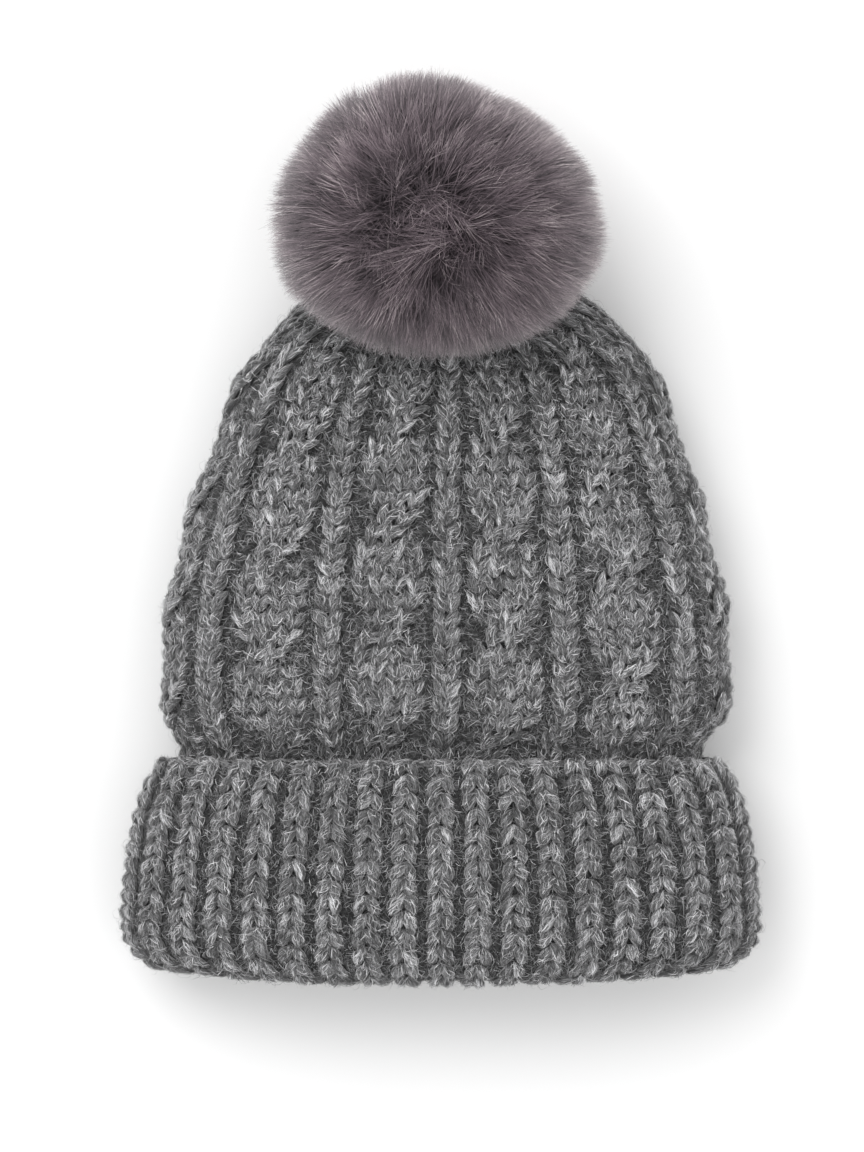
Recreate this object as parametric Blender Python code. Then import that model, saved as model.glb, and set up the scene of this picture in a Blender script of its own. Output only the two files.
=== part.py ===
"""Pom pom beanie, lying flat on its back with the turned-up cuff towards -Y and the pom towards +Y.

The knitted body is a flattened tube that closes at the crown. The cuff is a band folded up round its
mouth. A faux-fur pom is held on the crown by a press stud, so it turns on the stud and pulls off.
Units are metres, +Z is up and z = 0 is the surface that the hat lies on.
"""

from math import cos, pi, sin, sqrt

import bmesh
import bpy
from mathutils import Matrix, Vector

# Driving dimensions
WALL = 0.0055  # one layer of the chunky knit
GAP = 0.0003  # clearance between neighbouring pieces
HEM_BOW = 0.005  # the hem's middle hangs this far below its sides
TUBE_POWER = 4.0  # how boxy the flattened tube's section is, 2 being an ellipse

POM_RADIUS = 0.052
POM_CORE_RADIUS = 0.027
POM_CENTRE_UP = 0.033  # from the crown gather to the pom's centre, along the stud's axis
BACKING_THICKNESS = 0.0012

SEAM_WIDTH = 0.0046
SEAM_THICKNESS = 0.0016
SEAM_START = 0.15  # the body station at which the seam allowance begins
SEAM_STEP = 0.5  # body stations from one of its rings to the next
SEAM_RINGS = 17
LABEL_LENGTH = 0.034
LABEL_WIDTH = 0.022
LABEL_THICKNESS = 0.0008
LABEL_CENTRE = (0.0180, -0.0220)
LABEL_GAP = 0.0004  # between the label and the knit that it lies on

SNAP_RADIUS = 0.006
GATHER_HOLE = 0.004

GATHER = Vector((0.0, 0.0868, 0.027))  # where the crown is drawn together
STUD_AXIS = Vector((0.0, 0.634, 0.773)).normalized()

# How many sides each kind of piece has
TUBE_SIDES = 48
RINGS_PER_STATION = 2
POM_SIDES = 32
SNAP_SIDES = 20
THREAD_SIDES = 6
SEAM_SIDES = 8

# Stations of the knitted body from the hem to the crown gather. Each has the front layer's point (y, z),
# the back layer's point (y, z), the half width, the sideways lean and the section's power.
BODY_STATIONS = [
    ((-0.1525, 0.0415), (-0.1525, 0.0070), 0.0925, 0.0000, TUBE_POWER),
    ((-0.1180, 0.0418), (-0.1180, 0.0069), 0.0935, 0.0000, TUBE_POWER),
    ((-0.0880, 0.0420), (-0.0880, 0.0068), 0.0940, 0.0000, TUBE_POWER),
    ((-0.0770, 0.0422), (-0.0770, 0.0060), 0.0945, 0.0004, TUBE_POWER),
    ((-0.0650, 0.0442), (-0.0650, 0.0000), 0.0995, 0.0018, TUBE_POWER),
    ((-0.0400, 0.0450), (-0.0400, -0.0015), 0.1006, 0.0020, TUBE_POWER),
    ((-0.0050, 0.0450), (-0.0050, -0.0015), 0.0945, 0.0020, TUBE_POWER),
    ((0.0280, 0.0440), (0.0300, -0.0015), 0.0840, 0.0026, TUBE_POWER),
    ((0.0505, 0.0425), (0.0635, 0.0003), 0.0725, 0.0030, 3.6),
    ((0.0655, 0.0388), (0.0860, 0.0060), 0.0565, 0.0024, 3.0),
    ((0.0756, 0.0342), (0.0943, 0.0160), 0.0340, 0.0010, 2.5),
    ((0.0810, 0.0312), (0.0918, 0.0222), 0.0130, 0.0000, 2.2),
]

# The cuff's section, once round: outside from its top edge down, under the fold, and up the inside.
# Each ring has its y, half width, lowest z, highest z and its share of the hem's bow.
CUFF_RINGS = [
    (-0.0790, 0.0970, 0.0035, 0.0450, 0.0),
    (-0.0800, 0.0995, 0.0012, 0.0470, 0.0),
    (-0.0860, 0.1035, -0.0010, 0.0483, 0.0),
    (-0.0980, 0.1080, -0.0010, 0.0492, 0.0),
    (-0.1160, 0.1112, -0.0010, 0.0495, 0.2),
    (-0.1360, 0.1129, -0.0010, 0.0495, 0.5),
    (-0.1480, 0.1120, -0.0010, 0.0488, 0.8),
    (-0.1560, 0.1070, 0.0012, 0.0468, 1.0),
    (-0.1595, 0.1005, 0.0050, 0.0430, 1.0),
    (-0.1588, 0.0930, 0.0092, 0.0393, 1.0),
    (-0.1558, 0.0885, 0.0120, 0.0365, 1.0),
    (-0.1532, 0.0885, 0.0120, 0.0365, 1.0),
    (-0.1532, 0.0948, 0.0060, 0.0428, 1.0),
    (-0.1440, 0.1010, 0.0058, 0.0432, 0.8),
    (-0.1150, 0.1020, 0.0058, 0.0432, 0.2),
    (-0.0920, 0.0985, 0.0058, 0.0430, 0.0),
    (-0.0805, 0.0950, 0.0060, 0.0428, 0.0),
]


def clear_scene():
    for old in list(bpy.data.objects):
        bpy.data.objects.remove(old, do_unlink=True)


def new_material(name, colour, roughness, metallic=0.0):
    made = bpy.data.materials.new(name)
    made.use_nodes = True
    shader = made.node_tree.nodes["Principled BSDF"]
    shader.inputs["Base Color"].default_value = (*colour, 1.0)
    shader.inputs["Roughness"].default_value = roughness
    shader.inputs["Metallic"].default_value = metallic
    return made


def new_object(name, bm, material, parent=None):
    """Turns a bmesh into a smooth-shaded object whose faces point out."""
    bmesh.ops.remove_doubles(bm, verts=bm.verts, dist=1e-6)
    bmesh.ops.recalc_face_normals(bm, faces=bm.faces)
    mesh = bpy.data.meshes.new(name)
    bm.to_mesh(mesh)
    bm.free()
    mesh.materials.append(material)
    mesh.shade_smooth()
    mesh.set_sharp_from_angle(angle=pi / 5)
    made = bpy.data.objects.new(name, mesh)
    bpy.context.collection.objects.link(made)
    made.parent = parent
    return made


def new_frame(name, location, z_axis=Vector((0.0, 0.0, 1.0))):
    """An empty at a joint, whose own Z is the joint's axis."""
    made = bpy.data.objects.new(name, None)
    made.empty_display_size = 0.02
    turn = Vector((0.0, 0.0, 1.0)).rotation_difference(z_axis).to_matrix().to_4x4()
    made.matrix_world = Matrix.Translation(location) @ turn
    bpy.context.collection.objects.link(made)
    return made


def section(half_width, half_height, power, count):
    """Evenly spaced points round a flattened tube's section, as (sideways, up) pairs."""
    fine = 40 * count
    outline = []
    for i in range(fine):
        angle = 2 * pi * i / fine
        across = abs(cos(angle)) ** (2 / power) * (1 if cos(angle) >= 0 else -1)
        outline.append((half_width * across, half_height * sin(angle)))
    lengths = [0.0]
    for i in range(fine):
        (x0, z0), (x1, z1) = outline[i], outline[(i + 1) % fine]
        lengths.append(lengths[-1] + sqrt((x1 - x0) ** 2 + (z1 - z0) ** 2))
    points = []
    at = 0
    for i in range(count):
        target = lengths[-1] * i / count
        while lengths[at + 1] < target:
            at += 1
        points.append(outline[at])
    return points


def spline(values, t):
    """Catmull-Rom through a list of number tuples, t running from 0 to len(values) - 1."""
    last = len(values) - 1
    i = min(int(t), last - 1)
    f = t - i
    p0, p1 = values[max(i - 1, 0)], values[i]
    p2, p3 = values[i + 1], values[min(i + 2, last)]
    return [
        b + 0.5 * f * (c - a + f * (2 * a - 5 * b + 4 * c - d + f * (3 * (b - c) + d - a)))
        for a, b, c, d in zip(p0, p1, p2, p3)
    ]


def body_station(t):
    """The body's front point, back point, half width, lean and power at station t."""
    flat = [(*front, *back, width, lean, power) for front, back, width, lean, power in BODY_STATIONS]
    yf, zf, yb, zb, width, lean, power = spline(flat, t)
    return Vector((lean, yf, zf)), Vector((lean, yb, zb)), width, power


def body_ring(t):
    """One ring of the body's outer surface, resting on z = 0 where it would dip below."""
    front, back, width, power = body_station(t)
    middle = (front + back) / 2
    up = (front - back).normalized()
    bow = HEM_BOW * max(0.0, 1.0 - t)
    ring = []
    for across, rise in section(width, (front - back).length / 2, power, TUBE_SIDES):
        point = middle + Vector((across, 0, 0)) + up * rise
        point.y += bow * (across / width) ** 2
        point.z = max(point.z, 0.0)
        ring.append(point)
    return ring


def gather_ring():
    """The small round ring of stitches that the crown's yarn draws together."""
    up = Vector((1, 0, 0)).cross(STUD_AXIS)
    ring = []
    for i in range(TUBE_SIDES):
        angle = 2 * pi * i / TUBE_SIDES
        ring.append(GATHER + GATHER_HOLE * (Vector((cos(angle), 0, 0)) + up * sin(angle)))
    return ring


def loft(rings, closed):
    """Skins rings of as many points each. A closed loft joins its last ring to its first."""
    bm = bmesh.new()
    rows = [[bm.verts.new(point) for point in ring] for ring in rings]
    pairs = list(zip(rows, rows[1:]))
    if closed:
        pairs.append((rows[-1], rows[0]))
    for low, high in pairs:
        for i in range(len(low)):
            j = (i + 1) % len(low)
            bm.faces.new((low[i], low[j], high[j], high[i]))
    return bm


def turned(profile, sides):
    """Spins a profile of (radius, height) points about local Z. A profile off the axis is a closed loop."""
    bm = bmesh.new()
    verts = [bm.verts.new((radius, 0, height)) for radius, height in profile]
    edges = [bm.edges.new(pair) for pair in zip(verts, verts[1:])]
    on_axis = profile[0][0] == 0 and profile[-1][0] == 0
    if not on_axis:
        edges.append(bm.edges.new((verts[-1], verts[0])))
    round_z = {"axis": (0, 0, 1), "cent": (0, 0, 0), "angle": 2 * pi}
    bmesh.ops.spin(bm, geom=verts + edges, steps=sides, use_merge=True, **round_z)
    return bm


def arc(centre_height, radius, first, last, count):
    """Profile points on a circle centred on the axis; 0 is straight up and pi straight down."""
    points = []
    for i in range(count):
        angle = first + (last - first) * i / (count - 1)
        across = 0.0 if angle == 0 else radius * sin(angle)
        points.append((across, centre_height + radius * cos(angle)))
    return points


def thread_ring(radius, height, thickness):
    """A ring of thread or wire as a turned profile."""
    points = []
    for i in range(THREAD_SIDES):
        angle = 2 * pi * i / THREAD_SIDES
        points.append((radius + thickness / 2 * cos(angle), height + thickness / 2 * sin(angle)))
    return points


def make_body(knit):
    last = len(BODY_STATIONS) - 1
    steps = last * RINGS_PER_STATION
    rings = [body_ring(i / RINGS_PER_STATION) for i in range(steps + 1)]
    rings.append(gather_ring())
    body = new_object("body", loft(rings, closed=False), knit)
    thick = body.modifiers.new("wall", "SOLIDIFY")
    thick.thickness = WALL
    thick.offset = -1.0
    thick.use_even_offset = False
    return body


def make_cuff(knit, slide):
    rings = []
    for y, width, low, high, bow in CUFF_RINGS:
        ring = []
        for across, rise in section(width, (high - low) / 2, TUBE_POWER, TUBE_SIDES):
            hang = HEM_BOW * bow * (across / width) ** 2
            point = Vector((across, y + hang, max((high + low) / 2 + rise, 0.0)))
            ring.append(point - slide.location)
        rings.append(ring)
    return new_object("cuff", loft(rings, closed=True), knit, slide)


def make_back_seam(yarn):
    """The seam allowance, a flat cord of yarn along the inside of the back layer."""
    rings = []
    for t in [SEAM_START + SEAM_STEP * i for i in range(SEAM_RINGS)]:
        back = body_station(t)[1]
        ahead = body_station(t + 0.05)[1]
        along = Vector((0, ahead.y - back.y, max(ahead.z, 0) - max(back.z, 0))).normalized()
        inward = Vector((0, -along.z, along.y))
        height = WALL + 2 * GAP + SEAM_THICKNESS / 2
        base = Vector((back.x, back.y, max(back.z, 0.0))) + inward * height
        ring = []
        for i in range(SEAM_SIDES):
            angle = 2 * pi * (i + 0.5) / SEAM_SIDES
            across = Vector((SEAM_WIDTH / 2 * cos(angle), 0, 0))
            ring.append(base + across + inward * (SEAM_THICKNESS / 2 * sin(angle)))
        rings.append(ring)
    bm = loft(rings, closed=False)
    bm.verts.ensure_lookup_table()
    bm.faces.new(bm.verts[:SEAM_SIDES])
    bm.faces.new(bm.verts[-SEAM_SIDES:])
    return new_object("back_seam", bm, yarn)


def make_care_label(satin):
    """A blank ribbon sewn into the seam, lying on the inside of the back layer."""
    bm = bmesh.new()
    bmesh.ops.create_cube(bm, size=1.0)
    bmesh.ops.scale(bm, vec=(LABEL_WIDTH, LABEL_LENGTH, LABEL_THICKNESS), verts=bm.verts)
    corners = [e for e in bm.edges if abs(e.verts[0].co.z - e.verts[1].co.z) > LABEL_THICKNESS / 2]
    bmesh.ops.bevel(bm, geom=corners, offset=0.0015, segments=3, affect="EDGES", profile=0.5)
    label = new_object("care_label", bm, satin)
    label.location = (*LABEL_CENTRE, WALL + LABEL_GAP + LABEL_THICKNESS / 2)
    return label


def make_crown_pieces(axis, yarn, felt, metal):
    """What the crown carries: its gather yarn, the patch inside, and the press stud's male half."""
    new_object("crown_gather_yarn", turned(thread_ring(0.0098, 0.0011, 0.0019), SNAP_SIDES), yarn, axis)
    patch = [(0.0016, -0.0082), (0.0080, -0.0082), (0.0080, -0.0070), (0.0016, -0.0070)]
    new_object("crown_patch", turned(patch, SNAP_SIDES), felt, axis)
    post = [(0, -0.0094), (0.0055, -0.0094), (0.0060, -0.0089), (0.0055, -0.0085)]
    post += [(0.0011, -0.0085), (0.0011, 0.0020), (0.0008, 0.0023), (0, 0.0023)]
    new_object("snap_post", turned(post, SNAP_SIDES), metal, axis)
    stud = [(0.0015, 0.0003), (0.0065, 0.0003), (0.0065, 0.0007), (0.0036, 0.0010), (0.0028, 0.0013)]
    stud += [(0.0031, 0.0020), (0.0027, 0.0026), (0.0015, 0.0026)]
    new_object("snap_stud", turned(stud, SNAP_SIDES), metal, axis)


def make_snap_spring(axis, metal):
    """The wire ring inside the socket that grips the stud."""
    new_object("snap_spring", turned(thread_ring(0.0039, 0.0022, 0.0008), SNAP_SIDES), metal, axis)


def make_pom_base(axis, felt, metal, thread):
    """The pom's base: the socket, the cap that rivets it, the closing disc and the drawstring."""
    socket = [(0.0048, 0.0014), (SNAP_RADIUS, 0.0014), (SNAP_RADIUS, 0.0044), (0.0057, 0.0047)]
    socket += [(0.0019, 0.0047), (0.0019, 0.0038), (0.0048, 0.0038)]
    new_object("snap_socket", turned(socket, SNAP_SIDES), metal, axis)
    disc = [(0.0019, 0.0050), (0.0118, 0.0050), (0.0120, 0.0056), (0.0118, 0.0062), (0.0019, 0.0062)]
    new_object("pom_base_disc", turned(disc, SNAP_SIDES), felt, axis)
    cap = [(0, 0.0029), (0.0024, 0.0029), (0.0026, 0.0032), (0.0024, 0.0035), (0.0015, 0.0035)]
    cap += [(0.0015, 0.0065), (0.0058, 0.0065), (SNAP_RADIUS, 0.0069), (0.0052, 0.0074), (0, 0.0076)]
    new_object("snap_cap", turned(cap, SNAP_SIDES), metal, axis)
    new_object("pom_drawstring", turned(thread_ring(0.0105, 0.0073, 0.0015), SNAP_SIDES), thread, axis)


def make_pom_ball(axis, filling, backing, pile):
    """The ball: filling inside, the fur's knitted backing round it, and the pile outside."""
    centre = POM_CENTRE_UP
    skin = POM_CORE_RADIUS - 2 * GAP
    inside = skin - BACKING_THICKNESS
    mouth = pi - 0.35
    shell = arc(centre, skin, 0, mouth, 12) + arc(centre, inside, mouth, 0, 12)
    new_object("pom_backing", turned(shell, POM_SIDES), backing, axis)
    ball = arc(centre, inside - 2 * GAP, 0, pi - 0.32, 10)
    ball.append((0, ball[-1][1]))
    new_object("pom_stuffing", turned(ball, SNAP_SIDES), filling, axis)
    outer = arc(centre, POM_RADIUS, 0, 2.17, 12)
    base = [(0.0385, -0.0006), (0.0320, 0.0018), (0.0220, 0.0046), (0.0126, 0.0055)]
    inner = arc(centre, POM_CORE_RADIUS, pi - 0.485, 0, 10)
    new_object("pom_pile", turned(outer + base + inner, POM_SIDES), pile, axis)


def build():
    clear_scene()
    knit = new_material("knit", (0.20, 0.20, 0.21), 0.95)
    yarn = new_material("yarn", (0.16, 0.16, 0.17), 0.95)
    satin = new_material("label_satin", (0.80, 0.79, 0.76), 0.45)
    felt = new_material("felt", (0.10, 0.10, 0.11), 0.95)
    metal = new_material("snap_metal", (0.55, 0.55, 0.56), 0.30, 1.0)
    thread = new_material("thread", (0.30, 0.26, 0.27), 0.80)
    filling = new_material("filling", (0.85, 0.85, 0.84), 0.95)
    backing = new_material("fur_backing", (0.28, 0.24, 0.25), 0.95)
    pile = new_material("fur_pile", (0.24, 0.20, 0.21), 0.70)

    cuff_slide = new_frame("cuff_slide", Vector((0.0, -0.119, 0.0245)))
    hat_axis = new_frame("crown_axis", GATHER, STUD_AXIS)
    ring_axis = new_frame("snap_ring_axis", GATHER, STUD_AXIS)
    pom_axis = new_frame("pom_axis", GATHER, STUD_AXIS)
    bpy.context.view_layer.update()

    make_body(knit)
    make_cuff(knit, cuff_slide)
    make_back_seam(yarn)
    make_care_label(satin)
    make_crown_pieces(hat_axis, yarn, felt, metal)
    make_snap_spring(ring_axis, metal)
    make_pom_base(pom_axis, felt, metal, thread)
    make_pom_ball(pom_axis, filling, backing, pile)


build()
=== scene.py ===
"""The looks of the pom pom beanie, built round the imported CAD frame.

Every stitch is real geometry: fat tapered lobes of yarn set in wales on a skin that follows the CAD solids.
Loose wool fibres and the pom's fur are thin ribbons. Units are metres, in the CAD's own frame.
"""

from math import pi

import bmesh
import bpy
import numpy as np
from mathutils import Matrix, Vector, noise
from mathutils.bvhtree import BVHTree
from mathutils.kdtree import KDTree


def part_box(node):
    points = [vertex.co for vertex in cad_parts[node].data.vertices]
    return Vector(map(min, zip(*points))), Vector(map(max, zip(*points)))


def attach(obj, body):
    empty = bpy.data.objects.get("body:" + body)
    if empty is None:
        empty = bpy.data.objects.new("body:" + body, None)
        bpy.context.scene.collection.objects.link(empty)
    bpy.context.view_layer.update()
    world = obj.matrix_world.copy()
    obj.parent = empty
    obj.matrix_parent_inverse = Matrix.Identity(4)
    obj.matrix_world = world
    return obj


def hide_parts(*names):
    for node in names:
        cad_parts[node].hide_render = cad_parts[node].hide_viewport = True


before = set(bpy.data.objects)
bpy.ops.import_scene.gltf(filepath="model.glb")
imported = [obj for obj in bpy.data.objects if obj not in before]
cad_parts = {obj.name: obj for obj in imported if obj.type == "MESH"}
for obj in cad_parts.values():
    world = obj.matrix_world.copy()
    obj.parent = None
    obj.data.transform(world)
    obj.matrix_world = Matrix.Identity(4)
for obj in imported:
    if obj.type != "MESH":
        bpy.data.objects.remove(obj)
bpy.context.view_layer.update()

SEED = 20

# The CAD's own stations, repeated so that the stitches lie on its surface. Body: front point (y, z), back
# point (y, z), half width, lean and section power, from the hem to the crown gather.
TUBE_POWER = 4.0
HEM_BOW = 0.005
BODY_STATIONS = [
    (-0.1525, 0.0415, -0.1525, 0.0070, 0.0925, 0.0000, TUBE_POWER),
    (-0.1180, 0.0418, -0.1180, 0.0069, 0.0935, 0.0000, TUBE_POWER),
    (-0.0880, 0.0420, -0.0880, 0.0068, 0.0940, 0.0000, TUBE_POWER),
    (-0.0770, 0.0422, -0.0770, 0.0060, 0.0945, 0.0004, TUBE_POWER),
    (-0.0650, 0.0442, -0.0650, 0.0000, 0.0995, 0.0018, TUBE_POWER),
    (-0.0400, 0.0450, -0.0400, -0.0015, 0.1006, 0.0020, TUBE_POWER),
    (-0.0050, 0.0450, -0.0050, -0.0015, 0.0945, 0.0020, TUBE_POWER),
    (0.0280, 0.0440, 0.0300, -0.0015, 0.0840, 0.0026, TUBE_POWER),
    (0.0505, 0.0425, 0.0635, 0.0003, 0.0725, 0.0030, 3.6),
    (0.0655, 0.0388, 0.0860, 0.0060, 0.0565, 0.0024, 3.0),
    (0.0756, 0.0342, 0.0943, 0.0160, 0.0340, 0.0010, 2.5),
    (0.0810, 0.0312, 0.0918, 0.0222, 0.0130, 0.0000, 2.2),
    (0.0837, 0.0295, 0.0899, 0.0245, 0.0040, 0.0000, 2.0),
]
# Cuff: y, half width, lowest z, highest z and share of the bow, from the inner lip round the fold and up.
CUFF_OUTSIDE = [
    (-0.1532, 0.0885, 0.0120, 0.0365, 1.0),
    (-0.1558, 0.0885, 0.0120, 0.0365, 1.0),
    (-0.1588, 0.0930, 0.0092, 0.0393, 1.0),
    (-0.1595, 0.1005, 0.0050, 0.0430, 1.0),
    (-0.1560, 0.1070, 0.0012, 0.0468, 1.0),
    (-0.1480, 0.1120, -0.0010, 0.0488, 0.8),
    (-0.1360, 0.1129, -0.0010, 0.0495, 0.5),
    (-0.1160, 0.1112, -0.0010, 0.0495, 0.2),
    (-0.0980, 0.1080, -0.0010, 0.0492, 0.0),
    (-0.0860, 0.1035, -0.0010, 0.0483, 0.0),
    (-0.0800, 0.0995, 0.0012, 0.0470, 0.0),
    (-0.0790, 0.0970, 0.0035, 0.0450, 0.0),
]
CUFF_INSIDE = [
    (-0.0805, 0.0950, 0.0060, 0.0428, 0.0),
    (-0.0920, 0.0985, 0.0058, 0.0430, 0.0),
    (-0.1150, 0.1020, 0.0058, 0.0432, 0.2),
    (-0.1440, 0.1010, 0.0058, 0.0432, 0.8),
    (-0.1532, 0.0948, 0.0060, 0.0428, 1.0),
]
GATHER = np.array((0.0, 0.0868, 0.027))
STUD_AXIS = np.array((0.0, 0.634, 0.773)) / np.hypot(0.634, 0.773)
FRONT = 0.25  # the share of the way round at which the front's middle lies

# The knit
ROW = 0.0060
CABLE_REPEATS = 10
BAND_TOP = 0.076  # along the body, where the rib under the cuff gives way to cables
CABLE_ROWS = 6
CABLE_SWING = 0.0064
CABLE_SNAP = 1.1  # how quickly a strand crosses, then keeps to its side
CABLE_RISE = 0.0019
CABLE_EDGE_DROP = 0.0010
WALE = 0.0064
RIBS = 38
RIB_WIDTH = 0.0079
COLUMN_WIDTH = 0.0085
LEG_SLANT = 0.46
LEG_LENGTH = 1.36
LEG_WIDTH = 0.56  # a leg's width and its distance from the column's middle, as shares of the column's width
LEG_ASIDE = 0.27
LEG_HEIGHT = 0.0036
USUAL_WIDTH = 0.0080  # the column width at which a leg is LEG_HEIGHT high
LEAST_SHRINK = 0.05  # the crown's stitches shrink with its girth, but no further than this
COLUMN_LIFT = -0.0022
TUCK_DEPTH = 0.0012
# painted shade on the stitches where the body tucks under the cuff's top edge
PAINTED_TUCK_SHADE = 0.18
TUCK_REACH = 0.012
CUFF_LIFT = -0.0020
HAT_LINING_LIFT = 0.0004
CUFF_LINING_LIFT = -0.0012
LINING_MARGIN = 0.002
LINING_REACH = 0.04  # how far past the band the body's lining goes
BAND_LIFT = -0.0020
PURL_LIFT = -0.0050
PURL_WIDTH = 0.0056
PURL_DEPTH = 0.0032
PURL_HEIGHT = 0.0024
# painted shade: the sunken purl bumps are made darker than the knit columns
PAINTED_PURL_SHADE = -0.22
CABLE_PURLS = ((0.0064, PURL_LIFT, 0.0044), (0.0106, -0.0041, 0.0060))  # distance aside, lift and width
EDGE_GAP = 0.0026  # from the cuff's edge down to the middle of its cast-on bumps, and to its first row
FIRST_ROW_GAP = 0.0048
EDGE_BUMP = (0.0066, 0.0036, 0.0032)  # length, width and height
EDGE_LIFT = -0.0022
EDGE_DIP = 0.0010
EDGE_REACH = 0.010
CABLE_LIFT = -0.0026
CABLE_STARTS = (1.5, 3.0, 0.0, 4.5, 2.0)  # the row at which each cable's first crossing comes
KNIT_DEPTH = 0.0038
CUFF_DEPTH = 0.0034
# painted shade on loose fibres that root on the wall between the stitches
PAINTED_WALL_SHADE = -0.28
YARN_RADIUS = 0.0016
YARN_TWIST = 0.35
LOBE_BOW = 0.07
LOBE_DIP = 0.34
FLECKED = 0.26
FLECK_PALENESS = (0.18, 0.52)
FLECK_PLACE = (0.7, 2.4)  # the angles round a lobe between which its stripe lies
STRIPE_WIDTH = 0.34
# painted shade: how much darker a lobe is made towards its ends and down its sides
PAINTED_END_SHADE = 0.24
PAINTED_SIDE_SHADE = 0.10
FIBRE_SCATTER = 0.52
FLYAWAY = 0.07
FIBRE_STOPS = np.array([0.35, 1.0, 0.9, 0.2])  # a fibre's width at each of its stops
FIBRE_TONE = 0.51
FIBRE_TONE_SPREAD = 0.29
BODY_FUZZ = (5, 40000)  # how many pieces, and the fibres tried in each
BAND_FUZZ = (2, 22000)
CUFF_FUZZ = (3, 34000)
UV_NAME = "OFBake"  # the exporter's own name: one cell for each lobe or strand keeps baked colours apart
CELL_MARGIN = 0.08
SIDES = 8
WALL = 0.0055
LABEL_THICKNESS = 0.0004

# The pom
POM_CENTRE = np.array((0.0, 0.1077, 0.0525))
POM_REACH = np.array((0.0558, 0.0484, 0.0495))
POM_WHORL = np.array((-0.22, -0.12, 0.97)) / np.linalg.norm((-0.22, -0.12, 0.97))
POM_ROOT = 0.0268
POM_BULGE = 0.075  # the fur is fuller by this share on the side of the hat's left shoulder
BULGE_TIGHTNESS = 8
BULGE_TURN = 2.72
CROWN_DROP = 0.0005  # the fur stays above a cone round the stud, so that the pom turns clear of the hat
CROWN_RADIUS = 0.020
CROWN_SLOPE = 0.16
FUR_ROOT_TONE = 0.08
FUR_TIP_TONE = 0.58
FUR_RIM_TONE = 0.68
# painted light and shade by side: the fur's rim is made paler towards the top and right, darker to the left
# and low down
FUR_PAINTED_LIGHT_SIDE = np.array((0.60, 0.80, 0.0))
FUR = (5, 22000)  # how many pieces, and the strands tried in each
FUR_STOPS = np.array([0.9, 1.0, 1.0, 0.9, 0.62, 0.12])  # a strand's width at each of its stops
FUR_LEAN = 0.80
FUR_KNEE = 0.70  # how far out a strand goes before it bends over, and how far along the ball it has gone
FUR_COMB = 0.10
BARE_BELOW = -0.88  # no fur grows nearer to the stud than this
FLOOR_GAP = 0.0006


# ---------------------------------------------------------------- skins


def spline(values, t):
    """Catmull-Rom through the rows of values at each t, which runs from 0 to len(values) - 1."""
    values = np.asarray(values, float)
    last = len(values) - 1
    i = np.minimum(t.astype(int), last - 1)
    f = (t - i)[:, None]
    a, b = values[np.maximum(i - 1, 0)], values[i]
    c, d = values[i + 1], values[np.minimum(i + 2, last)]
    return b + 0.5 * f * (c - a + f * (2 * a - 5 * b + 4 * c - d + f * (3 * (b - c) + d - a)))


def section(width, height, power, sides):
    """Evenly spaced (across, rise) points round a flattened tube's section."""
    angle = np.linspace(0, 2 * pi, 30 * sides + 1)
    across = width * np.sign(np.cos(angle)) * np.abs(np.cos(angle)) ** (2 / power)
    rise = height * np.sin(angle)
    run = np.concatenate([[0], np.cumsum(np.hypot(np.diff(across), np.diff(rise)))])
    even = np.linspace(0, run[-1], sides, endpoint=False)
    return np.interp(even, run, across), np.interp(even, run, rise)


def body_rings(steps, sides=240):
    rings = []
    for t, row in zip(steps, spline(BODY_STATIONS, steps)):
        yf, zf, yb, zb, width, lean, power = row
        front, back = np.array((lean, yf, zf)), np.array((lean, yb, zb))
        half = np.linalg.norm(front - back) / 2
        up = (front - back) / (2 * half)
        across, rise = section(width, half, power, sides)
        ring = (front + back) / 2 + across[:, None] * np.array((1, 0, 0)) + rise[:, None] * up
        ring[:, 1] += HEM_BOW * max(0.0, 1 - t) * (across / width) ** 2
        ring[:, 2] = np.maximum(ring[:, 2], 0)
        rings.append(ring)
    return np.array(rings)


def cuff_rings(stations, steps, sides=240):
    rings = []
    for y, width, low, high, bow in spline(stations, steps):
        across, rise = section(width, (high - low) / 2, TUBE_POWER, sides)
        hang = HEM_BOW * bow * (across / width) ** 2
        lifted = np.maximum((high + low) / 2 + rise, 0)
        rings.append(np.stack([across, y + hang, lifted], axis=1))
    return np.array(rings)


class Skin:
    """A surface closed all round: around runs from 0 to 1, along is measured up its front, lift outward."""

    def __init__(self, rings):
        self.points = rings
        self.rows, self.sides = rings.shape[:2]
        front = rings[:, int(self.sides * FRONT)]
        self.run = np.concatenate([[0], np.cumsum(np.linalg.norm(np.diff(front, axis=0), axis=1))])
        self.length = self.run[-1]
        across = np.roll(rings, -1, axis=1) - np.roll(rings, 1, axis=1)
        up = np.gradient(rings, axis=0)
        normal = np.cross(up, across)
        self.normals = normal / np.maximum(np.linalg.norm(normal, axis=2, keepdims=True), 1e-12)
        self.girths = np.linalg.norm(rings - np.roll(rings, 1, axis=1), axis=2).sum(axis=1)

    def girth(self, along):
        return np.interp(along, self.run, self.girths)

    def at(self, around, along, lift):
        """Points at those places, and the skin's normals there."""
        r = np.clip(np.interp(along, self.run, np.arange(self.rows)), 0, self.rows - 1.001)
        c = (around % 1.0) * self.sides
        i, j = r.astype(int), c.astype(int) % self.sides
        f, g = (r - i)[:, None], (c - c.astype(int))[:, None]
        j2 = (j + 1) % self.sides

        def mixed(grid):
            low = grid[i, j] * (1 - g) + grid[i, j2] * g
            high = grid[i + 1, j] * (1 - g) + grid[i + 1, j2] * g
            return low * (1 - f) + high * f

        normal = mixed(self.normals)
        normal /= np.maximum(np.linalg.norm(normal, axis=1, keepdims=True), 1e-9)
        return mixed(self.points) + normal * np.asarray(lift)[:, None], normal


# ---------------------------------------------------------------- meshes


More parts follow.
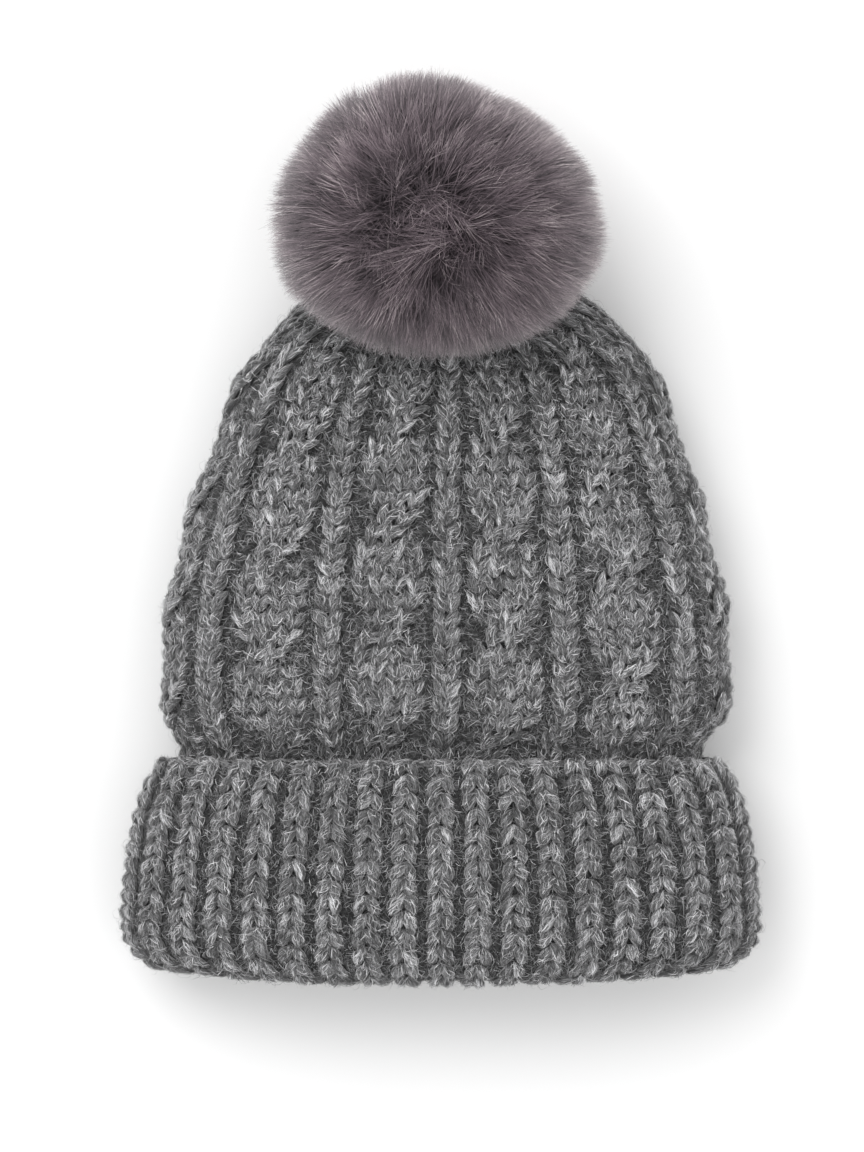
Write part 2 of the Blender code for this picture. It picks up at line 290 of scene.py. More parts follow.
def new_mesh(name, points, faces, material, body, uvs=None, attributes=None, normals=None):
    """A shown piece from arrays of points and four-cornered faces; a negative last corner: a triangle."""
    mesh = bpy.data.meshes.new(name)
    mesh.vertices.add(len(points))
    mesh.vertices.foreach_set("co", np.asarray(points, np.float32).ravel())
    corners = np.where(faces[:, 3] < 0, 3, 4)
    flat = faces.ravel()
    flat = flat[flat >= 0]
    mesh.loops.add(len(flat))
    mesh.loops.foreach_set("vertex_index", flat.astype(np.int32))
    mesh.polygons.add(len(faces))
    starts = np.concatenate([[0], np.cumsum(corners)[:-1]])
    mesh.polygons.foreach_set("loop_start", starts.astype(np.int32))
    mesh.update(calc_edges=True)
    mesh.shade_smooth()
    for key, values in (attributes or {}).items():
        single = values.ndim == 1
        made = mesh.attributes.new(key, "FLOAT" if single else "FLOAT_VECTOR", "POINT")
        made.data.foreach_set("value" if single else "vector", values.astype(np.float32).ravel())
    if uvs is not None:
        layer = mesh.uv_layers.new(name=UV_NAME)
        layer.uv.foreach_set("vector", uvs.astype(np.float32).ravel())
    if normals is not None:
        mesh.normals_split_custom_set_from_vertices(normals)
    mesh.materials.append(material)
    piece = bpy.data.objects.new(name, mesh)
    bpy.context.scene.collection.objects.link(piece)
    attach(piece, body)
    return piece


def lobe_template(sides=SIDES):
    """A unit lobe of yarn, tapered at both ends: (along, angle, radius) of each point, faces and UVs."""
    stops = np.array([-0.88, -0.55, 0.0, 0.5, 0.86])
    radii = (1 - np.abs(stops) ** 2.1) ** 0.75
    angle = np.arange(sides) * 2 * pi / sides
    rows = [(-1.0, 0.0, 0.0)]
    rows += [(s, a, r) for s, r in zip(stops, radii) for a in angle]
    rows.append((1.0, 0.0, 0.0))
    faces, uvs = [], []
    bands = len(stops) + 1
    for k in range(sides):
        n = (k + 1) % sides
        u, v = k / sides, (k + 1) / sides
        faces.append((0, 1 + n, 1 + k, -1))
        uvs += [(u, 0), (v, 1 / bands), (u, 1 / bands)]
        for row in range(len(stops) - 1):
            low, high = 1 + row * sides, 1 + (row + 1) * sides
            bottom, top = (row + 1) / bands, (row + 2) / bands
            faces.append((low + k, low + n, high + n, high + k))
            uvs += [(u, bottom), (v, bottom), (v, top), (u, top)]
        end = 1 + (len(stops) - 1) * sides
        faces.append((end + k, end + n, len(rows) - 1, -1))
        uvs += [(u, 1 - 1 / bands), (v, 1 - 1 / bands), (u, 1)]
    return np.array(rows), np.array(faces), np.array(uvs)


def in_cells(uvs, count):
    """The same small UV layout again for each of count copies, each in its own cell of a square grid."""
    across = int(np.ceil(np.sqrt(count)))
    k = np.arange(count)
    corner = np.stack([k % across, k // across], axis=1)[:, None]
    return ((corner + CELL_MARGIN + uvs[None] * (1 - 2 * CELL_MARGIN)) / across).reshape(-1, 2)


def stripe(angle, place):
    """1 along the middle of a stripe round a lobe, falling to 0 beside it."""
    return np.exp(-(((angle - place) / STRIPE_WIDTH) ** 2))


def painted_hollow_shade(stop, angle):
    """Painted shade: darker towards a lobe's two ends and down its sides, where its neighbours close in on
    it.
    """
    return -PAINTED_END_SHADE * np.abs(stop) ** 3 - PAINTED_SIDE_SHADE * (1 - np.maximum(np.sin(angle), 0))


class Yarn:
    """Gathers lobes of yarn on a skin, then makes one piece of them."""

    keys = ("around", "along", "lift", "turn", "length", "width", "height", "tone")

    def __init__(self, skin, rng):
        self.skin, self.rng = skin, rng
        self.lists = {key: [] for key in self.keys}

    def add(self, **values):
        count = len(values["along"])
        for key in self.keys:
            self.lists[key].append(np.broadcast_to(values[key], count).astype(float))

    def piece(self, name, material, body):
        """The piece, and for each of its faces the way its lobe runs and its tone with painted shade, for the
        loose fibres.
        """
        lists = {key: np.concatenate(values) for key, values in self.lists.items()}
        template, faces, uvs = lobe_template()
        count, size = len(lists["along"]), len(template)
        part = {key: values[:, None] for key, values in lists.items()}
        stop, angle, radius = template.T[:, None, :]
        run = stop * part["length"] / 2
        bow = LOBE_BOW * part["length"] * (stop**2 - 0.4) * np.sign(part["turn"])
        side = radius * np.cos(angle) * part["width"] / 2 + bow
        rise = radius * np.sin(angle) * part["height"] / 2 - LOBE_DIP * part["height"] * stop**2
        up = run * np.cos(part["turn"]) - side * np.sin(part["turn"])
        out = run * np.sin(part["turn"]) + side * np.cos(part["turn"])
        along = part["along"] + up
        around = part["around"] - out / self.skin.girth(part["along"])
        points, _ = self.skin.at(around.ravel(), along.ravel(), (part["lift"] + rise).ravel())
        points[:, 2] = np.maximum(points[:, 2], 0)
        shift = (np.arange(count) * size)[:, None, None]
        all_faces = np.where(faces[None] < 0, -1, faces[None] + shift).reshape(-1, 4)
        seed = np.broadcast_to(self.rng.random(count)[:, None] * 10, (count, size))
        twist = np.broadcast_to(angle * YARN_RADIUS, (count, size)) + YARN_TWIST * run
        yarn = np.stack([np.broadcast_to(run, (count, size)), twist, seed], axis=2).reshape(-1, 3)
        strength, place = self.flecks(count)
        # a lobe's own random tone and pale flecks, plus painted shade towards its ends and sides
        tone = part["tone"] + strength * stripe(angle, place) + painted_hollow_shade(stop, angle)
        values = {"tone": tone.ravel(), "yarn": yarn}
        made = new_mesh(name, points, all_faces, material, body, in_cells(uvs, count), values)
        per_side = len(faces) // SIDES
        sector = (np.arange(len(faces)) // per_side + 0.5) * 2 * pi / SIDES
        middle = (np.arange(len(faces)) % per_side + 0.5) * 2 / per_side - 1
        # the same tone for each face, painted shade included, which the loose fibres rooted there take up
        shade = part["tone"] + strength * stripe(sector, place) + painted_hollow_shade(middle, sector)
        return made, np.repeat(lists["turn"], len(faces)), shade.ravel()

    def flecks(self, count):
        """How much paler the stripe of pale fibres on each lobe is, most having none, and where it lies."""
        flecked = self.rng.random((count, 1)) < FLECKED
        strength = np.where(flecked, self.rng.uniform(*FLECK_PALENESS, (count, 1)), 0)
        return strength, self.rng.uniform(*FLECK_PLACE, (count, 1))


def ribbons(name, paths, widths, facing, material, body, tone):
    """Thin strips, one for each path: paths (n, k, 3), widths (n, k), facing (n, k, 3) the way they face."""
    tangent = np.gradient(paths, axis=1)
    side = np.cross(tangent, facing)
    side /= np.maximum(np.linalg.norm(side, axis=2, keepdims=True), 1e-12)
    left, right = paths - side * widths[..., None] / 2, paths + side * widths[..., None] / 2
    count, stops = paths.shape[:2]
    points = np.stack([left, right], axis=2).reshape(-1, 3)
    base = (np.arange(count) * stops * 2)[:, None] + (np.arange(stops - 1) * 2)[None]
    faces = np.stack([base, base + 1, base + 3, base + 2], axis=2).reshape(-1, 4)
    step = np.linspace(0, 1, stops)
    uvs = [((0, a), (1, a), (1, b), (0, b)) for a, b in zip(step[:-1], step[1:])]
    uvs = in_cells(np.array(uvs).reshape(-1, 2), count)
    normals = np.repeat(facing.reshape(-1, 3), 2, axis=0)
    return new_mesh(name, points, faces, material, body, uvs, {"tone": np.repeat(tone.ravel(), 2)}, normals)


def shell(name, outer, inner, material, body):
    """A closed wall between two sets of rings, joined at both ends."""
    rings = np.concatenate([outer, inner[::-1]])
    rows, sides = rings.shape[:2]
    k = np.arange(sides)
    n = (k + 1) % sides
    faces = []
    for row in range(rows):
        low, high = row * sides, ((row + 1) % rows) * sides
        faces.append(np.stack([low + k, high + k, high + n, low + n], axis=1))
    return new_mesh(name, rings.reshape(-1, 3), np.concatenate(faces), material, body)


# ---------------------------------------------------------------- materials


class Look:
    """A Principled material whose nodes are added one by one."""

    def __init__(self, name, roughness, sheen=0.0, specular=0.2, metallic=0.0):
        self.material = bpy.data.materials.new(name)
        self.material.use_nodes = True
        self.nodes = self.material.node_tree.nodes
        self.shader = self.nodes["Principled BSDF"]
        self.set("Roughness", roughness)
        self.set("Sheen Weight", sheen)
        self.set("Sheen Roughness", 0.5)
        self.set("Specular IOR Level", specular)
        self.set("Metallic", metallic)

    def set(self, socket, value):
        self.shader.inputs[socket].default_value = value

    def join(self, source, target):
        self.material.node_tree.links.new(source, target)

    def attribute(self, name):
        node = self.nodes.new("ShaderNodeAttribute")
        node.attribute_name = name
        return node

    def noise(self, scale, detail=3.0, stretch=(1, 1, 1), source=None):
        """Noise over the object's own coordinates, or over those of source."""
        source = source or self.nodes.new("ShaderNodeTexCoord").outputs["Object"]
        mapping = self.nodes.new("ShaderNodeMapping")
        mapping.inputs["Scale"].default_value = stretch
        self.join(source, mapping.inputs["Vector"])
        node = self.nodes.new("ShaderNodeTexNoise")
        node.inputs["Scale"].default_value = scale
        node.inputs["Detail"].default_value = detail
        self.join(mapping.outputs[0], node.inputs["Vector"])
        return node.outputs["Fac"]

    def sum(self, first, times, second):
        """first * times + second, where second is a socket or a number."""
        node = self.nodes.new("ShaderNodeMath")
        node.operation = "MULTIPLY_ADD"
        self.join(first, node.inputs[0])
        node.inputs[1].default_value = times
        if isinstance(second, float):
            node.inputs[2].default_value = second
        else:
            self.join(second, node.inputs[2])
        return node.outputs[0]

    def colour(self, value, stops):
        """Colours the surface by value through a ramp of (place, colour) stops."""
        node = self.nodes.new("ShaderNodeValToRGB")
        elements = node.color_ramp.elements
        elements[0].position, elements[1].position = stops[0][0], stops[-1][0]
        elements[0].color, elements[1].color = (*stops[0][1], 1), (*stops[-1][1], 1)
        for place, colour in stops[1:-1]:
            elements.new(place).color = (*colour, 1)
        self.join(value, node.inputs["Fac"])
        self.join(node.outputs["Color"], self.shader.inputs["Base Color"])

    def rough(self, value, low, high):
        """Lets roughness follow value between low and high."""
        node = self.nodes.new("ShaderNodeMapRange")
        node.inputs["To Min"].default_value = low
        node.inputs["To Max"].default_value = high
        self.join(value, node.inputs["Value"])
        self.join(node.outputs["Result"], self.shader.inputs["Roughness"])

    def bump(self, value, depth):
        node = self.nodes.new("ShaderNodeBump")
        node.inputs["Strength"].default_value = 0.6
        node.inputs["Distance"].default_value = depth
        self.join(value, node.inputs["Height"])
        self.join(node.outputs["Normal"], self.shader.inputs["Normal"])


def grey(value):
    return (value, value, value * 1.02)


def yarn_material():
    """Heathered wool: streaks of dark and pale fibre along each lobe, some lobes paler than others, and the
    painted shade that the tone attribute carries.
    """
    look = Look("wool_yarn", 0.95, sheen=0.6)
    yarn = look.attribute("yarn").outputs["Vector"]
    streak = look.noise(1.0, 3.0, (380, 3400, 7), yarn)
    value = look.sum(look.sum(streak, 1.9, -0.46), 1.0, look.attribute("tone").outputs["Fac"])
    stops = [(0.16, 0.022), (0.36, 0.070), (0.50, 0.125), (0.66, 0.22), (0.84, 0.42), (1.0, 0.66)]
    look.colour(value, [(place, grey(shade)) for place, shade in stops])
    look.rough(streak, 0.85, 1.0)
    look.bump(streak, 0.0003)
    return look.material


def painted_shade_backing_material():
    """Painted shade: the knit behind the stitches, made much darker than the yarn to stand for the shade
    between stitches, with fine specks.
    """
    look = Look("wool_backing_painted_shade", 0.98, sheen=0.2)
    speck = look.noise(900, 4.0)
    look.colour(speck, [(0.35, grey(0.016)), (0.55, grey(0.045)), (0.75, grey(0.12))])
    look.rough(speck, 0.9, 1.0)
    look.bump(look.noise(260, 3.0), 0.0008)
    return look.material


def fibre_material():
    """Loose wool fibres, from charcoal to near white."""
    look = Look("wool_fibre", 0.9, sheen=0.8)
    tone = look.attribute("tone").outputs["Fac"]
    stops = [(0.0, 0.014), (0.26, 0.050), (0.50, 0.155), (0.72, 0.38), (1.0, 0.80)]
    look.colour(tone, [(place, grey(shade)) for place, shade in stops])
    look.rough(tone, 0.8, 0.95)
    return look.material


def fur_material():
    """Faux fur: dark mauve at the roots, paler and greyer at the tips, with locks of different tone."""
    look = Look("faux_fur", 0.6, sheen=0.3)
    tone = look.attribute("tone").outputs["Fac"]
    look.colour(
        tone,
        [
            (0.0, (0.016, 0.0115, 0.014)),
            (0.35, (0.085, 0.066, 0.076)),
            (0.65, (0.205, 0.158, 0.180)),
            (0.85, (0.38, 0.315, 0.336)),
            (1.0, (0.72, 0.635, 0.64)),
        ],
    )
    look.rough(tone, 0.7, 0.5)
    return look.material


def fibrous_material(name, dark, pale, scale, bump, roughness=0.9, stretch=(1, 1, 1)):
    """Felt, ribbon, thread or filling: two shades through fine noise."""
    look = Look(name, roughness, sheen=0.2)
    speck = look.noise(scale, 4.0, stretch)
    look.colour(speck, [(0.3, dark), (0.7, pale)])
    look.rough(speck, roughness - 0.08, roughness + 0.05)
    look.bump(speck, bump)
    return look.material


def metal_material():
    """Dull nickel plate with fine turning marks."""
    look = Look("nickel", 0.35, specular=0.5, metallic=1.0)
    mark = look.noise(500, 2.0, (1, 1, 6))
    look.colour(mark, [(0.3, (0.45, 0.44, 0.42)), (0.7, (0.62, 0.61, 0.58))])
    look.rough(mark, 0.28, 0.45)
    return look.material


# ---------------------------------------------------------------- the knit


def spread(k, repeats):
    """Where repeat k lies round the hat: a little closer together on the front than on the back."""
    share = k / repeats
    return FRONT + share - 0.06 * np.sin(2 * pi * share) / (2 * pi)


def shrinkage(skin, along):
    """How narrow the stitches are at each place, against those where the skin is widest."""
    return np.clip(skin.girth(along) / skin.girths.max(), LEAST_SHRINK, 1)


def add_wale(yarn, centre, along, wide, lift, aside=0.0, slope=0.0, shade=0.0, upside_down=False):
    """One column of stitches: two legs to a row, meeting in a point. aside is its place beside centre."""
    rng = yarn.rng
    count = len(along)
    girth = yarn.skin.girth(along)
    shrink = shrinkage(yarn.skin, along)
    for leg in (-1, 1):
        slant = leg * (-LEG_SLANT if upside_down else LEG_SLANT)
        offset = aside + leg * LEG_ASIDE * wide * shrink
        yarn.add(
            around=centre - (offset + 0.0002 * rng.standard_normal(count)) / girth,
            along=along + 0.0003 * rng.standard_normal(count),
            lift=lift + 0.0002 * rng.standard_normal(count),
            turn=slope + slant + 0.08 * rng.standard_normal(count),
            length=LEG_LENGTH * ROW / np.cos(slope) * (1 + 0.06 * rng.standard_normal(count)),
            width=LEG_WIDTH * wide * shrink * (1 + 0.07 * rng.standard_normal(count)),
            height=LEG_HEIGHT * np.clip(wide / USUAL_WIDTH, 0.8, 1.1) * np.clip(shrink, 0.45, 1),
            tone=0.04 * rng.standard_normal(count) + shade,
        )


def add_purls(yarn, centre, along, aside, lift, width):
    """A sunken column of purl bumps, one lying across each row, darkened with painted shade."""
    count = len(along)
    shrink = shrinkage(yarn.skin, along)
    yarn.add(
        around=centre - aside * shrink / yarn.skin.girth(along),
        along=along + 0.0004 * yarn.rng.standard_normal(count),
        lift=lift,
        turn=pi / 2 + 0.15 * yarn.rng.standard_normal(count),
        length=width * shrink,
        width=PURL_DEPTH,
        height=PURL_HEIGHT,
        tone=0.04 * yarn.rng.standard_normal(count) + PAINTED_PURL_SHADE,
    )


def make_cables(skin, wool, rng):
    """The body above the band: ten cables with a knit column between each two."""
    along = np.arange(BAND_TOP - 0.5 * ROW, skin.length - 0.004, ROW)
    rows = np.arange(len(along))
    tuck = np.clip(1 - (along - BAND_TOP) / TUCK_REACH, 0, 1)
    # painted shade on the stitches just above the cuff, where the body tucks under it
    shade = -PAINTED_TUCK_SHADE * tuck
    swing = shrinkage(skin, along)
    columns = Yarn(skin, rng)
    for k in range(CABLE_REPEATS):
        centre = spread(k, CABLE_REPEATS)
        lift = COLUMN_LIFT - TUCK_DEPTH * tuck
        add_wale(columns, centre, along, COLUMN_WIDTH, lift, shade=shade)
        for side in (-1, 1):
            for aside, sunk, width in CABLE_PURLS:
                add_purls(columns, centre, along, side * aside, sunk, width)
    pieces = [columns.piece("knit_columns", wool, "hat")]
    for k in range(CABLE_REPEATS):
        cable = Yarn(skin, rng)
        centre = spread(k + 0.5, CABLE_REPEATS)
        phase = (rows + CABLE_STARTS[k % len(CABLE_STARTS)]) / CABLE_ROWS * pi
        for strand in (-1, 1):
            place = strand * CABLE_SWING * np.tanh(CABLE_SNAP * np.cos(phase)) / np.tanh(CABLE_SNAP)
            going = np.gradient(place, ROW)
            front = np.sign(going) * (1 - (place / CABLE_SWING) ** 2)
            slope = np.arctan(going * swing)
            for wale in (-0.5, 0.5):
                beside = place + wale * WALE
                outer = np.abs(beside) / (CABLE_SWING + WALE / 2)
                lift = CABLE_LIFT - TUCK_DEPTH * tuck + CABLE_RISE * front - CABLE_EDGE_DROP * outer**2
                add_wale(cable, centre, along, WALE, lift, beside * swing, slope, shade)
        pieces.append(cable.piece(f"cable_{k + 1:02d}", wool, "hat"))
    return pieces


def make_band(skin, wool, rng):
    """The rib under the cuff, which shows when the cuff is turned down."""
    along = np.arange(0.4 * ROW, BAND_TOP - 0.6 * ROW, ROW)
    band = Yarn(skin, rng)
    for k in range(RIBS):
        add_wale(band, FRONT + k / RIBS, along, RIB_WIDTH, BAND_LIFT)
        add_purls(band, FRONT + (k + 0.5) / RIBS, along, 0.0, PURL_LIFT, PURL_WIDTH)
    return band.piece("band_rib", wool, "hat")


def make_lining_rib(name, skin, lift, wool, body, rng):
    """The wrong side of a rib, seen through the mouth. Its stitches stand up on the side that skin faces."""
    along = np.arange(LINING_MARGIN, skin.length - LINING_MARGIN, ROW)
    rib = Yarn(skin, rng)
    for k in range(RIBS):
        add_wale(rib, FRONT + (k + 0.5) / RIBS, along, RIB_WIDTH, lift)
        add_purls(rib, FRONT + k / RIBS, along, 0.0, lift, PURL_WIDTH)
    return rib.piece(name, wool, body)


def add_edge(rib, along):
    """The cast-on edge: a bump across each rib and each gap, no two quite alike."""
    count = 2 * RIBS
    length, width, height = EDGE_BUMP
    places = np.arange(count) + 0.12 * rib.rng.standard_normal(count)
    rib.add(
        around=FRONT + places / count,
        along=along + 0.0004 * rib.rng.standard_normal(count),
        lift=EDGE_LIFT - EDGE_DIP * (np.arange(count) % 2) + 0.0004 * rib.rng.standard_normal(count),
        turn=pi / 2 + 0.22 * rib.rng.standard_normal(count),
        length=length * (1 + 0.12 * rib.rng.standard_normal(count)),
        width=width,
        height=height,
        tone=0.05 * rib.rng.standard_normal(count) - 0.04,
    )


def make_cuff_rib(skin, wool, rng):
    """The cuff's rib, whose stitches point up because the band is folded over."""
    along = np.arange(skin.length - FIRST_ROW_GAP, LINING_MARGIN, -ROW)
    rib = Yarn(skin, rng)
    lift = CUFF_LIFT - EDGE_DIP * np.clip(1 - (skin.length - along) / EDGE_REACH, 0, 1)
    for k in range(RIBS):
        centre = FRONT + k / RIBS
        add_wale(rib, centre, along, RIB_WIDTH, lift, upside_down=True)
        add_purls(rib, centre + 0.5 / RIBS, along, 0.0, PURL_LIFT, PURL_WIDTH)
    add_edge(rib, skin.length - EDGE_GAP)
    return rib.piece("cuff_rib", wool, "cuff")


# ---------------------------------------------------------------- loose fibres


def lit_surface(stitches, wall):
    """One search tree over the stitches and the wall behind them, and the way the yarn runs on each face."""
    points, faces, turns, shades, start = [], [], [], [], 0
    lost = np.full(len(wall.data.polygons), np.nan)
    for piece, turn, shade in [*stitches, (wall, lost, np.full(len(lost), PAINTED_WALL_SHADE))]:
        mesh = piece.data
        co = np.empty(len(mesh.vertices) * 3, np.float32)
        mesh.vertices.foreach_get("co", co)
        points.append(co.reshape(-1, 3))
        faces += [tuple(v + start for v in face.vertices) for face in mesh.polygons]
        turns.append(turn)
        shades.append(shade)
        start += len(mesh.vertices)
    tree = BVHTree.FromPolygons(np.concatenate(points).tolist(), faces)
    return tree, np.concatenate(turns), np.concatenate(shades)


def fibre_roots(skin, tree, turns, shades, count, span, rng):
    """Random places on the outermost yarn: the point, the way out, the way the yarn runs and its shade."""
    around, along = rng.random(count), span[0] + (span[1] - span[0]) * rng.random(count)
    keep = rng.random(count) < skin.girth(along) / skin.girths.max()
    around, along = around[keep], along[keep]
    above, normal = skin.at(around, along, np.full(len(along), 0.008))
    found = [tree.ray_cast(start, way, 0.02) for start, way in zip(above.tolist(), (-normal).tolist())]
    good = np.array([hit[0] is not None for hit in found])
    root = np.array([hit[0][:] for hit in found if hit[0] is not None])
    steep = np.array([hit[1][:] for hit in found if hit[0] is not None])
    face = np.array([hit[2] for hit in found if hit[0] is not None])
    normal, around, along = normal[good], around[good], along[good]
    steep *= np.sign((steep * normal).sum(axis=1, keepdims=True))
    out = 0.55 * steep + 0.45 * normal
    out /= np.linalg.norm(out, axis=1, keepdims=True)
    low, _ = skin.at(around, along - 0.0005, np.zeros(len(along)))
    high, _ = skin.at(around, along + 0.0005, np.zeros(len(along)))
    up = (high - low) / np.maximum(np.linalg.norm(high - low, axis=1, keepdims=True), 1e-9)
    right = np.cross(up, normal)
    turn = turns[face]
    lost = np.isnan(turn)
    turn = np.where(lost, rng.uniform(-pi, pi, len(turn)), turn)
    # each fibre takes the tone of the face it roots on, painted shade included; those on the wall get painted
    # wall shade
    shade = np.where(lost, PAINTED_WALL_SHADE, shades[face])
    turn = turn + FIBRE_SCATTER * np.where(shade > 0.2, 0.4, 1) * rng.standard_normal(len(turn))
    way = up * np.cos(turn)[:, None] + right * np.sin(turn)[:, None]
    way -= out * (way * out).sum(axis=1, keepdims=True)
    return root, out, way / np.maximum(np.linalg.norm(way, axis=1, keepdims=True), 1e-9), shade


def make_fuzz(name, skin, lit, count, span, material, body, rng):
    """Loose wool fibres that follow the yarn, most of them lying flat and a few standing proud."""
    root, out, way, shade = fibre_roots(skin, *lit, count, span, rng)
    count = len(root)
    fly = rng.random(count) < FLYAWAY
    length = np.where(fly, rng.uniform(0.0035, 0.0080, count), rng.uniform(0.0018, 0.0042, count))
    proud = np.where(fly, rng.uniform(0.0008, 0.0024, count), rng.uniform(0.0001, 0.0006, count))
    curl = np.where(fly, 0.0014, 0.0004) * rng.standard_normal(count)
    s = np.linspace(0, 1, len(FIBRE_STOPS))[None, :, None]
    paths = root[:, None] + way[:, None] * (s - 0.5) * length[:, None, None]
    arch = 4 * s * (1 - s) - 0.25 * (1 - s)
    paths = paths + out[:, None] * (arch * proud[:, None, None] + 0.00005)
    paths = paths + np.cross(way, out)[:, None] * np.sin(s * 3) * curl[:, None, None]
    paths[..., 2] = np.maximum(paths[..., 2], 0)
    thick = np.where(fly, rng.uniform(0.00008, 0.00013, count), rng.uniform(0.00011, 0.00024, count))
    widths = thick[:, None] * FIBRE_STOPS[None]
    tone = FIBRE_TONE + shade + FIBRE_TONE_SPREAD * rng.standard_normal(count)
    tone = np.clip(np.where(fly, 0.45 + 0.5 * tone, tone), 0, 1)
    facing = np.broadcast_to(out[:, None], paths.shape)
    return ribbons(name, paths, widths, facing, material, body, np.broadcast_to(tone[:, None], widths.shape))


def make_fuzzes(name, skin, lit, pieces_and_fibres, span, material, body, rng):
    pieces, count = pieces_and_fibres
    return [make_fuzz(f"{name}_{k + 1}", skin, lit, count, span, material, body, rng) for k in range(pieces)]


# ---------------------------------------------------------------- the pom


def from_whorl(way):
    """How far round the ball from the whorl each way lies, and the direction along the ball away from it."""
    facing = way @ POM_WHORL
    away = way * facing[:, None] - POM_WHORL
    away /= np.maximum(np.linalg.norm(away, axis=1, keepdims=True), 1e-6)
    return np.arccos(np.clip(facing, -1, 1)), away


def reach(way):
    """How far the fur's tips stand from the pom's centre: an ellipsoid, lopsided and fuller low down."""
    round_z = np.arctan2(way[:, 1], way[:, 0])
    lumps = -0.018 * np.cos(round_z) - 0.045 * np.sin(round_z) - 0.030 * np.sin(2 * round_z)
    lumps += 0.015 * np.cos(3 * round_z) - 0.012 * np.sin(3 * round_z)
    lumps += POM_BULGE * np.exp(BULGE_TIGHTNESS * (np.cos(round_z + BULGE_TURN) - 1))
    level = np.hypot(way[:, 0], way[:, 1])
    return (1 + lumps * level) / np.sqrt(((way / POM_REACH) ** 2).sum(axis=1))


def clear_of_hat(points):
    """Pushes points out along the stud's axis, up to the cone that the turning pom has to keep above."""
    height = (points - GATHER) @ STUD_AXIS
    radius = np.linalg.norm(points - GATHER - height[..., None] * STUD_AXIS, axis=-1)
    lowest = -CROWN_DROP - CROWN_SLOPE * np.maximum(radius - CROWN_RADIUS, 0)
    return points + np.maximum(lowest - height, 0)[..., None] * STUD_AXIS


def random_ways(rng, count):
    way = rng.standard_normal((count, 3))
    return way / np.linalg.norm(way, axis=1, keepdims=True)


class Locks:
    """The pile's locks: a direction for each, with its own lean, sway, length and tone."""

    def __init__(self, rng, count, pull, spread, tone):
        self.pull = pull
        self.ways = random_ways(rng, count)
        self.tree = KDTree(count)
        for i, way in enumerate(self.ways.tolist()):
            self.tree.insert(way, i)
        self.tree.balance()
        self.lean = spread * rng.standard_normal(count)
        self.sway = spread * rng.standard_normal(count)
        self.long = 0.14 * spread * rng.standard_normal(count)
        self.tone = tone * rng.standard_normal(count)

    def nearest(self, ways):
        return np.array([self.tree.find(way)[1] for way in ways.tolist()])


def make_fur(name, count, material, rng, scales):
    """Tapered strands that stand out of the ball and are brushed away from the whorl, gathered into locks."""
    way = random_ways(rng, count)
    way = way[way @ STUD_AXIS > BARE_BELOW]
    count = len(way)
    angle, away = from_whorl(way)
    beside = np.cross(way, away)
    tousled = 0.05 + 0.05 * np.exp(-((angle / 0.20) ** 2))
    lean = FUR_LEAN * np.clip(angle / 1.1, 0.06, 1) + tousled * rng.standard_normal(count)
    sway = tousled * rng.standard_normal(count)
    long = 1 + 0.012 * rng.standard_normal(count)
    tone = 0.15 * rng.standard_normal(count)
    tip_way = way.copy()
    for locks in scales:
        lock = locks.nearest(way)
        tip_way += locks.pull * (locks.ways[lock] - way)
        lean, sway = lean + locks.lean[lock], sway + locks.sway[lock]
        long, tone = long + locks.long[lock], tone + locks.tone[lock]
    tip_way += away * lean[:, None] + beside * sway[:, None]
    tip_way /= np.linalg.norm(tip_way, axis=1, keepdims=True)
    far = reach(tip_way) * long
    root = way * POM_ROOT
    knee = way * (POM_ROOT + FUR_KNEE * (far - POM_ROOT))[:, None] + away * (FUR_COMB * far)[:, None]
    tip = tip_way * far[:, None]
    s = np.linspace(0, 1, len(FUR_STOPS))[None, :, None]
    paths = root[:, None] * (1 - s) ** 2 + knee[:, None] * 2 * s * (1 - s) + tip[:, None] * s**2
    facing = paths / np.linalg.norm(paths, axis=2, keepdims=True)
    paths = clear_of_hat(paths + POM_CENTRE)
    paths[..., 2] = np.maximum(paths[..., 2], FLOOR_GAP)
    thick = rng.uniform(0.00015, 0.00026, count)
    widths = thick[:, None] * FUR_STOPS[None]
    depth = np.linspace(0, 1, len(FUR_STOPS))[None] ** 1.8
    # paler fur away from the whorl, partly paler tips and partly painted rim light, weighted by side as
    # painted light and shade
    rim_tips_and_painted_light = np.clip((angle - 0.45) / 1.35, 0, 1) ** 1.4 * (0.66 + 0.50 * way @ FUR_PAINTED_LIGHT_SIDE)
    # painted shade on the pom's underside, next to the hat
    rim_tips_and_painted_light *= FUR_RIM_TONE * (1 - 0.65 * np.clip((angle - 1.75) / 0.7, 0, 1))
    base = FUR_ROOT_TONE + (FUR_TIP_TONE - FUR_ROOT_TONE + rim_tips_and_painted_light[:, None]) * depth
    tone = base + tone[:, None] * (0.35 + 0.65 * depth)
    return ribbons(name, paths, widths, facing, material, "pom", np.clip(tone, 0, 1))


# ---------------------------------------------------------------- small pieces


def make_ball(name, node, material, relief, scale, body):
    """A lumpy closed ball in the place of a CAD ball."""
    low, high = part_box(node)
    centre = (Vector(low) + Vector(high)) / 2
    mesh = bpy.data.meshes.new(name)
    shape = bmesh.new()
    bmesh.ops.create_icosphere(shape, subdivisions=6, radius=min(b - a for a, b in zip(low, high)) / 2)
    for point in shape.verts:
        lump = noise.fractal(point.co * scale, 1.0, 2.0, 4)
        point.co += point.normal * (lump - 0.6) * relief
    bmesh.ops.translate(shape, verts=shape.verts, vec=centre)
    shape.to_mesh(mesh)
    shape.free()
    mesh.shade_smooth()
    mesh.materials.append(material)
    piece = bpy.data.objects.new(name, mesh)
    bpy.context.scene.collection.objects.link(piece)
    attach(piece, body)
    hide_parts(node)
    return piece


